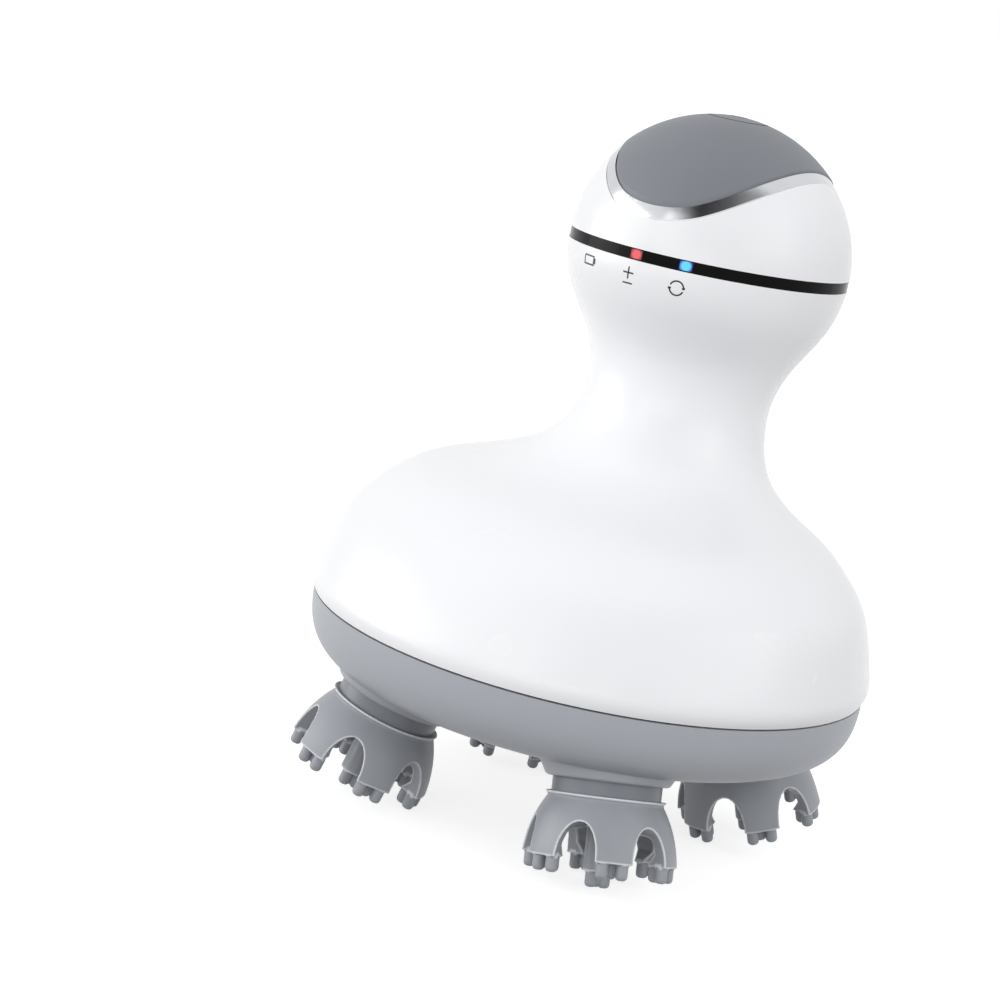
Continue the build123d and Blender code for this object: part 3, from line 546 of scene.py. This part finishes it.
# how far round the ball and how far below the band's middle each sign stands, in degrees and millimetres
for name, strokes, degrees, drop in (("battery_sign", battery_sign, -23.5, 4.2),
                                     ("level_sign", plus_minus_sign, -1.6, 5.1),
                                     ("direction_sign", cycle_sign, 19.2, 5.1)):
    turn = math.radians(degrees)
    outward = crown_right * math.sin(turn) - crown_back * math.cos(turn)
    right = crown_right * math.cos(turn) + crown_back * math.sin(turn)
    origin = crown_centre + outward * casting_distance - crown_axis * drop * MM
    printed(name, strokes, origin, right, crown_axis, -outward, body_surface, "housing", ink)

power_sign = [
    (arc(1.6, 125, 415), False, power_stroke),
    ([(0.0, 0.4), (0.0, 2.2)], False, power_stroke),
]
origin = crown_centre + crown_axis * casting_distance
printed("power_sign", power_sign, origin, crown_right, crown_back, -crown_axis,
        surface_of("power_button"), "button", symbol_ink)


# ---- stage and light ----

def facing(place, direction):
    """The matrix of something at a place whose Z axis points in a direction."""
    return Matrix.Translation(place) @ direction.to_track_quat("Z", "Y").to_matrix().to_4x4()


def stage_plane(name, width, height, place, direction, material):
    mesh = bpy.data.meshes.new(name)
    x, y = width / 2, height / 2
    mesh.from_pydata([(-x, -y, 0), (x, -y, 0), (x, y, 0), (-x, y, 0)], [], [(0, 1, 2, 3)])
    plane = bpy.data.objects.new(name, mesh)
    plane.matrix_world = facing(place, direction)
    mesh.materials.append(material)
    bpy.context.scene.collection.objects.link(plane)
    return plane


def larger(tree, first, second):
    node = tree.nodes.new("ShaderNodeMath")
    node.operation = "MAXIMUM"
    tree.links.new(first, node.inputs[0])
    tree.links.new(second, node.inputs[1])
    return node.outputs["Value"]


def seen_directly(tree):
    """1 for camera, mirror and glass rays, 0 for the rays that carry light on to the object."""
    rays = tree.nodes.new("ShaderNodeLightPath").outputs
    camera_or_glossy = larger(tree, rays["Is Camera Ray"], rays["Is Glossy Ray"])
    return larger(tree, camera_or_glossy, rays["Is Transmission Ray"])


def split_place(tree):
    """The outputs X, Y and Z of a plane's place from 0 to 1, or of a direction in the world."""
    split = tree.nodes.new("ShaderNodeSeparateXYZ")
    tree.links.new(tree.nodes.new("ShaderNodeTexCoord").outputs["Generated"], split.inputs["Vector"])
    return split.outputs


def shader_node(tree, kind, colour, strength=None):
    node = tree.nodes.new(kind)
    node.inputs["Color"].default_value = (*colour, 1.0)
    if strength is not None:
        node.inputs["Strength"].default_value = strength
    return node.outputs[0]


def mixed(tree, fac, first, second):
    mix = tree.nodes.new("ShaderNodeMixShader")
    for source, socket in ((fac, mix.inputs[0]), (first, mix.inputs[1]), (second, mix.inputs[2])):
        tree.links.new(source, socket)
    return mix.outputs["Shader"]


def empty_material(name):
    material = bpy.data.materials.new(name)
    material.use_nodes = True
    material.node_tree.nodes.clear()
    return material, material.node_tree


# the paper lights the object as grey paper does, and is seen as white with the object's soft shadow
floor_grey = (0.3, 0.3, 0.3)
floor_glow = 0.76
floor_shade = (0.5, 0.5, 0.5)
floor_side = 8.0
floor_level = -0.0001

floor_material, tree = empty_material("floor_paper")
bounced = shader_node(tree, "ShaderNodeBsdfDiffuse", floor_grey)
shown = tree.nodes.new("ShaderNodeAddShader")
tree.links.new(shader_node(tree, "ShaderNodeBsdfDiffuse", floor_shade), shown.inputs[0])
tree.links.new(shader_node(tree, "ShaderNodeEmission", white, floor_glow), shown.inputs[1])
output = tree.nodes.new("ShaderNodeOutputMaterial")
tree.links.new(mixed(tree, seen_directly(tree), bounced, shown.outputs["Shader"]), output.inputs["Surface"])
stage_plane("floor", floor_side, floor_side, Vector((0, 0, floor_level)), Vector((0, 0, 1)), floor_material)

# the room lights the object most from the horizon, and is seen as white
sky_colour = (0.975, 0.987, 1.0)
horizon_light = 1.03
zenith_light = 0.52

world = bpy.data.worlds.new("studio")
bpy.context.scene.world = world
world.use_nodes = True
tree = world.node_tree
tree.nodes.clear()
lighting = shader_node(tree, "ShaderNodeBackground", sky_colour)
falloff = map_range(tree, split_place(tree)["Z"], To_Min=horizon_light, To_Max=zenith_light)
tree.links.new(falloff, lighting.node.inputs["Strength"])
shown = shader_node(tree, "ShaderNodeBackground", white, 1.0)
output = tree.nodes.new("ShaderNodeOutputWorld")
tree.links.new(mixed(tree, seen_directly(tree), lighting, shown), output.inputs["Surface"])

# a dark card in front, which only reflections see: the trim mirrors it as a dark patch that fades to both
# sides and upward. Its clearness, from the camera's right to its left, is 0 where it is darkest and 1 where
# it can't be seen.
card_azimuth = math.radians(30.0)
card_height = math.radians(45.0)
card_distance = 0.6
card_size = (1.6, 0.8)
card_clearness = ((0.0, 1.0), (0.03, 1.0), (0.3, 0.45), (0.45, 0.12), (0.58, 0.0), (0.61, 0.0), (0.85, 1.0))
card_top_fade = 0.7
card_darkness = 0.01

card_way = Vector((math.sin(card_azimuth) * math.cos(card_height),
                   -math.cos(card_azimuth) * math.cos(card_height),
                   math.sin(card_height)))
card_material, tree = empty_material("dark_card")
card_place = split_place(tree)
along = tree.nodes.new("ShaderNodeValToRGB")
stops = along.color_ramp.elements
stops.remove(stops[0])
for index, (place, clearness) in enumerate(card_clearness):
    stop = stops.new(place) if index else stops[0]
    stop.position = place
    stop.color = (clearness, clearness, clearness, 1.0)
tree.links.new(card_place["X"], along.inputs["Fac"])
upward = map_range(tree, card_place["Y"], From_Min=card_top_fade)
dark = shader_node(tree, "ShaderNodeEmission", white, card_darkness)
clear = shader_node(tree, "ShaderNodeBsdfTransparent", white)
output = tree.nodes.new("ShaderNodeOutputMaterial")
clearness = larger(tree, along.outputs["Color"], upward)
tree.links.new(mixed(tree, clearness, dark, clear), output.inputs["Surface"])
card = stage_plane("dark_card", *card_size, crown_centre + card_way * card_distance, -card_way, card_material)
card.visible_camera = False
card.visible_diffuse = False
card.visible_transmission = False
card.visible_shadow = False


def softbox(name, place, size, watts):
    """A soft lamp that points at the middle of the object."""
    light = bpy.data.lights.new(name, "AREA")
    light.shape = "RECTANGLE"
    light.size, light.size_y = size
    light.energy = watts
    lamp = bpy.data.objects.new(name, light)
    lamp.matrix_world = facing(place, place - lamp_target)
    bpy.context.scene.collection.objects.link(lamp)


lamp_target = Vector((0.0, 0.0, 0.07))
softbox("key", Vector((-0.85, -0.65, 0.3)), (0.9, 0.6), 2.9)
softbox("fill", Vector((0.17, -1.0, 0.45)), (0.9, 0.7), 2.4)
softbox("side", Vector((0.85, -0.2, 0.6)), (0.9, 0.7), 2.4)
softbox("low", Vector((-0.7, -0.3, 0.15)), (0.5, 0.28), 0.8)

bpy.context.scene.view_settings.view_transform = "Standard"
